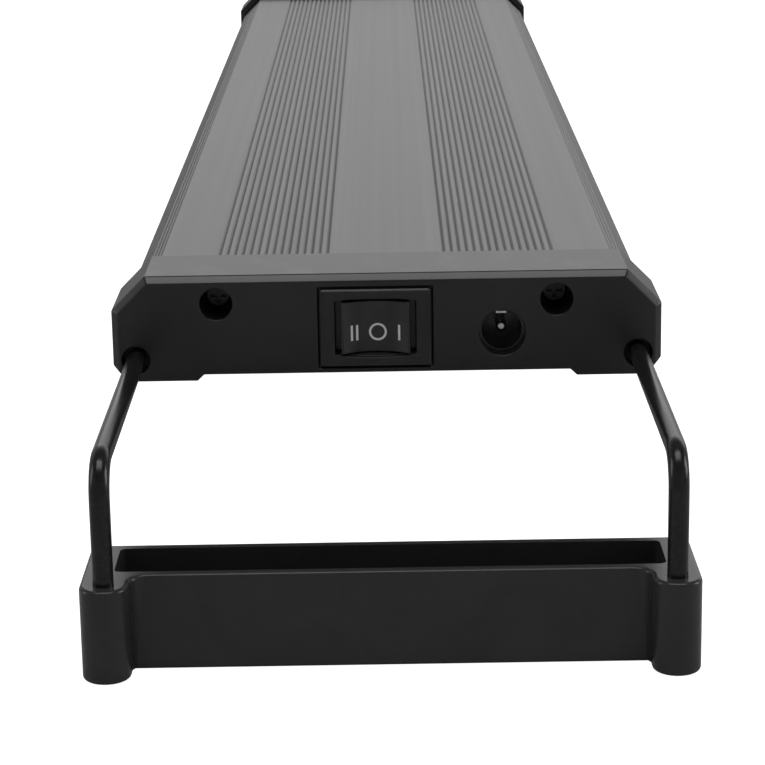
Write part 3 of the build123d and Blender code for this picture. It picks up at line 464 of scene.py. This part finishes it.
# ---- Rocker switch ----
# A snap-in switch of black nylon: a bezel and body in one moulding, a dished rocker in a smoother
# finish, and its three positions printed on the rocker in light grey ink.
switch_black = moulding_material("switch_black", 0.014, 0.022, 0.42, 0.47, 0.30, 0.1)
rocker_black = moulding_material("rocker_black", 0.023, 0.034, 0.27, 0.31, 0.15, 0.1)
bezel_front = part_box("switch_housing")[0].y
rocker_low, rocker_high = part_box("switch_rocker")
BEZEL_DEPTH = 1.3 * MM           # a little more than the bezel's thickness
ROCKER_DEPTH = 3.0 * MM          # a little more than the dish
BEZEL_ROUNDING = 0.14 * MM
ROCKER_ROUNDING = 0.16 * MM


def on_bezel(point):
    return point.y < bezel_front + BEZEL_DEPTH


def on_rocker_face(point):
    return point.y < rocker_low.y + ROCKER_DEPTH


rounded_copy("switch_housing", "housing", switch_black, BEZEL_ROUNDING, on_bezel)
rounded_copy("switch_rocker", "rocker", rocker_black, ROCKER_ROUNDING, on_rocker_face)

marks_ink = mottled_material("printed_marks", ((0.86, 0.86, 0.86), (0.94, 0.94, 0.94)), (0.45, 0.62),
                             3800.0, 3.0, 0.25, depth=0.00001)

MARK_HEIGHT = 3.0 * MM
MARK_STROKE = 0.42 * MM
MARK_RADIUS = 1.70 * MM          # outside of the ring
MARKS_DROP = 1.1 * MM            # below the rocker's middle
INK_THICKNESS = 0.03 * MM
BARS_X = (-4.49 * MM, -3.50 * MM, 4.45 * MM)
RING_X = 0.43 * MM
marks_x = (rocker_low.x + rocker_high.x) / 2
marks_z = (rocker_low.z + rocker_high.z) / 2 - MARKS_DROP
bm = bmesh.new()
bm.from_mesh(nodes["switch_rocker"].data)
rocker_skin = BVHTree.FromBMesh(bm)
bm.free()


def rocker_face(x, z):
    """Where the rocker's dished face is, straight in from the front."""
    start = Vector((x, bezel_front - 10.0 * MM, z))
    return rocker_skin.ray_cast(start, Vector((0.0, 1.0, 0.0)))[0].y


bm = bmesh.new()
for x in BARS_X:
    made = bmesh.ops.create_grid(bm, x_segments=1, y_segments=6, size=0.5)
    bmesh.ops.scale(bm, vec=(MARK_STROKE, MARK_HEIGHT, 1.0), verts=made["verts"])
    bmesh.ops.translate(bm, vec=(x, 0.0, 0.0), verts=made["verts"])
outer = bmesh.ops.create_circle(bm, segments=48, radius=MARK_RADIUS, cap_ends=False)
around = list({edge for vert in outer["verts"] for edge in vert.link_edges})
spokes = bmesh.ops.extrude_edge_only(bm, edges=around)
inner = [item for item in spokes["geom"] if isinstance(item, bmesh.types.BMVert)]
shrink = (MARK_RADIUS - MARK_STROKE) / MARK_RADIUS
bmesh.ops.scale(bm, vec=(shrink, shrink, 1.0), verts=inner)
bmesh.ops.translate(bm, vec=(RING_X, 0.0, 0.0), verts=outer["verts"] + inner)
raised = bmesh.ops.extrude_face_region(bm, geom=bm.faces[:])
lifted = [item for item in raised["geom"] if isinstance(item, bmesh.types.BMVert)]
bmesh.ops.translate(bm, vec=(0.0, 0.0, INK_THICKNESS), verts=lifted)
# The marks, drawn flat, are laid on the dished face: their Y goes up it, and their Z out of it.
for vert in bm.verts:
    x, z = marks_x + vert.co.x, marks_z + vert.co.y
    vert.co = Vector((x, rocker_face(x, z) - vert.co.z, z))
bmesh.ops.recalc_face_normals(bm, faces=bm.faces)
marks_mesh = bpy.data.meshes.new("rocker_marks")
bm.to_mesh(marks_mesh)
bm.free()
marks_mesh.materials.append(marks_ink)
marks = bpy.data.objects.new("rocker_marks", marks_mesh)
bpy.context.scene.collection.objects.link(marks)
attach(marks, "rocker")

# ---- Inside the switch ----
# A nylon plunger on a small spring steel coil presses on a brass blade, which rocks on the middle
# one of three brass tabs. The brass is stamped, and has dulled a little.
natural_nylon = mottled_material("natural_nylon", ((0.62, 0.60, 0.52), (0.74, 0.72, 0.65)), (0.38, 0.52),
                                 700.0, 3.0, 0.1)
finish_with(["switch_plunger"], natural_nylon)

bright_steel = mottled_material("bright_steel", ((0.46, 0.46, 0.47), (0.64, 0.64, 0.64)), (0.14, 0.30),
                                (3000.0, 200.0, 3000.0), 3.0, 0.12, metal=1.0)
finish_with(["switch_spring", "board_screws", "dc_jack_pin", "dc_jack_contact"], bright_steel)

dull_brass = mottled_material("dull_brass", ((0.62, 0.45, 0.17), (0.38, 0.26, 0.11)), (0.24, 0.48),
                              420.0, 5.0, 0.15, metal=1.0, grit=0.6)
finish_with(["switch_contact_blade", "switch_terminals"], dull_brass)

# ---- Power inlet ----
# A round barrel socket in glossy black plastic, held in the cap by a ring nut, with a plated centre
# pin and a leaf contact.
jack_black = moulding_material("jack_black", 0.008, 0.013, 0.14, 0.24, 0.10, 0.1)
inlet_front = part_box("dc_jack_body")[0].y
MOUTH_DEPTH = 0.4 * MM
MOUTH_ROUNDING = 0.25 * MM


def on_inlet_mouth(point):
    return point.y < inlet_front + MOUTH_DEPTH


rounded_copy("dc_jack_body", "housing", jack_black, MOUTH_ROUNDING, on_inlet_mouth)
finish_with(["dc_jack_lock_ring"], jack_black)

# ---- Clear cover ----
# A strip of clear acrylic, slid into the housing's two grooves. It has faint haze from cleaning.
acrylic, tree, shader = new_material("clear_acrylic")
wiped = noise(tree, stretched(tree, object_place(tree), (60.0, 14.0, 60.0)), 1.0, 6.0, 0.65)
tree.links.new(spread_to(tree, wiped, 0.03, 0.11), shader.inputs["Roughness"])
tint = blend_colours(tree, spread_to(tree, wiped, 0.0, 1.0), (0.97, 0.985, 0.985), (0.93, 0.95, 0.95))
tree.links.new(tint, shader.inputs["Base Color"])
tree.links.new(bump(tree, wiped, 0.02, 0.00002), shader.inputs["Normal"])
shader.inputs["Transmission Weight"].default_value = 1.0
shader.inputs["IOR"].default_value = 1.49
finish_with(["lens_cover"], acrylic)

# ---- LED board ----
# A white lacquered circuit board, screwed to the housing's ceiling so that the aluminium takes its
# heat. Its copper shows faintly through the lacquer. It carries three rows of LEDs, every fourth
# column of them blue, with soft silicone domes over their chips, and the resistors.
white_lacquer, tree, shader = new_material("white_lacquer")
place = object_place(tree)
copper = tree.nodes.new("ShaderNodeTexBrick")
copper.offset = 0.5
copper.inputs["Scale"].default_value = 1.0
copper.inputs["Brick Width"].default_value = 0.0176
copper.inputs["Row Height"].default_value = 0.0067
copper.inputs["Mortar Size"].default_value = 0.0006
copper.inputs["Mortar Smooth"].default_value = 0.3
copper.inputs["Color1"].default_value = (1.0, 1.0, 1.0, 1.0)
copper.inputs["Color2"].default_value = (1.0, 1.0, 1.0, 1.0)
copper.inputs["Mortar"].default_value = (0.0, 0.0, 0.0, 1.0)
turned = tree.nodes.new("ShaderNodeMapping")
turned.inputs["Rotation"].default_value = (0.0, 0.0, pi / 2)
tree.links.new(place, turned.inputs["Vector"])
tree.links.new(turned.outputs["Vector"], copper.inputs["Vector"])
mottle = noise(tree, place, 160.0, 4.0)
lacquer = blend_colours(tree, spread_to(tree, mottle, 0.0, 1.0), (0.80, 0.80, 0.78), (0.85, 0.85, 0.84))
gaps = spread_to(tree, copper.outputs["Fac"], 0.0, 0.6, 0.0, 1.0)
lacquer = blend_colours(tree, gaps, lacquer, (0.66, 0.67, 0.65))
tree.links.new(lacquer, shader.inputs["Base Color"])
tree.links.new(spread_to(tree, mottle, 0.30, 0.42), shader.inputs["Roughness"])
tree.links.new(bump(tree, copper.outputs["Fac"], 0.4, 0.00003), shader.inputs["Normal"])
finish_with(["led_board"], white_lacquer)

led_case = mottled_material("led_case", ((0.78, 0.77, 0.73), (0.86, 0.86, 0.83)), (0.40, 0.55),
                            2400.0, 2.0, 0.0)
finish_with(["white_leds", "blue_leds"], led_case)

LED_COLUMNS = 24
BLUE_EVERY = 4               # one column in this many is blue
FIRST_BLUE = 2
ROW_SPACING = 20.0 * MM
CUP_DEPTH = 0.3 * MM
DOME_RADIUS = 1.95 * MM
DOME_RISE = 0.27 * MM
DOME_SLOPE = 0.45            # of its radius, round its flat top
led_low, led_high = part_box("white_leds")
led_half = (led_high.x - led_low.x) / 2 - ROW_SPACING
first_y = led_low.y + led_half
last_y = led_high.y - led_half
column_pitch = (last_y - first_y) / (LED_COLUMNS - 1)
cup_floor = led_low.z + CUP_DEPTH


def led_domes(name, blue, colours):
    """Silicone domes in the cups of the LEDs of one colour."""
    bm = bmesh.new()
    for column in range(LED_COLUMNS):
        if (column % BLUE_EVERY == FIRST_BLUE) != blue:
            continue
        for row in (-1, 0, 1):
            disc = bmesh.ops.create_circle(bm, segments=16, radius=DOME_RADIUS, cap_ends=True)
            top = disc["verts"][0].link_faces[0]
            inset = bmesh.ops.inset_region(bm, faces=[top], thickness=DOME_RADIUS * DOME_SLOPE, depth=0.0)
            bmesh.ops.translate(bm, vec=(0.0, 0.0, -DOME_RISE), verts=top.verts[:])
            whole = {vert for face in inset["faces"] + [top] for vert in face.verts}
            seat = (row * ROW_SPACING, first_y + column * column_pitch, cup_floor)
            bmesh.ops.translate(bm, vec=seat, verts=list(whole))
    for face in bm.faces:
        face.smooth = True
    bmesh.ops.recalc_face_normals(bm, faces=bm.faces)
    mesh = bpy.data.meshes.new(name)
    bm.to_mesh(mesh)
    bm.free()
    mesh.materials.append(mottled_material(name + "_gel", colours, (0.12, 0.22), 5200.0, 2.0, 0.2))
    domes = bpy.data.objects.new(name, mesh)
    bpy.context.scene.collection.objects.link(domes)
    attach(domes, "housing")


led_domes("white_led_domes", False, ((0.86, 0.66, 0.12), (0.72, 0.50, 0.07)))
led_domes("blue_led_domes", True, ((0.62, 0.72, 0.80), (0.45, 0.58, 0.72)))

resistor_black = mottled_material("resistor_black", ((0.015, 0.015, 0.015), (0.04, 0.04, 0.04)), (0.45, 0.65),
                                  1800.0, 3.0, 0.0)
finish_with(["resistors"], resistor_black)

# ---- Inner wires ----
# Stranded hook-up wire in soft coloured sheaths, soldered to the tabs and to the board.


def sheath(name, dark, light):
    """Soft plastic wire sheath."""
    return mottled_material(name, (dark, light), (0.36, 0.52), 500.0, 3.0, 0.1, depth=0.00003)


finish_with(["wire_inlet_positive"], sheath("red_sheath", (0.42, 0.015, 0.012), (0.56, 0.03, 0.025)))
finish_with(["wire_inlet_negative"], sheath("black_sheath", (0.012, 0.012, 0.012), (0.028, 0.028, 0.028)))
finish_with(["wire_white_leds"], sheath("white_sheath", (0.68, 0.68, 0.65), (0.80, 0.80, 0.78)))
finish_with(["wire_blue_leds"], sheath("blue_sheath", (0.02, 0.07, 0.38), (0.04, 0.12, 0.52)))

# ---- Legs ----
# Steel wire, bent and painted semi-gloss black. The paint has a slight orange peel, and it is
# polished along the straight runs where the legs slide in their bushes.
leg_paint, tree, shader = new_material("leg_paint")
place = object_place(tree)
peel = noise(tree, place, 700.0, 2.0)
slid = noise(tree, stretched(tree, place, (900.0, 25.0, 900.0)), 1.0, 4.0, 0.6)
slid_mask = spread_to(tree, slid, 0.0, 1.0, 0.45, 0.75)
coat = blend_colours(tree, slid_mask, (0.009, 0.009, 0.0095), (0.018, 0.018, 0.0185))
tree.links.new(coat, shader.inputs["Base Color"])
tree.links.new(spread_to(tree, slid, 0.24, 0.15, 0.40, 0.70), shader.inputs["Roughness"])
tree.links.new(bump(tree, peel, 0.04, 0.00005), shader.inputs["Normal"])
shader.inputs["Specular IOR Level"].default_value = 0.34
finish_with(["front_leg_left", "front_leg_right", "rear_leg_left", "rear_leg_right"], leg_paint)

# ---- Feet ----
# One moulding each in glossier black plastic: a leaning front plate between two bosses that hold
# the legs, a back wall, and the web between them that rests on the tank's rim.
foot_black = moulding_material("foot_black", 0.027, 0.034, 0.19, 0.24, 0.25, 0.15, shine=0.32)
finish_with(["front_foot", "rear_foot"], foot_black)
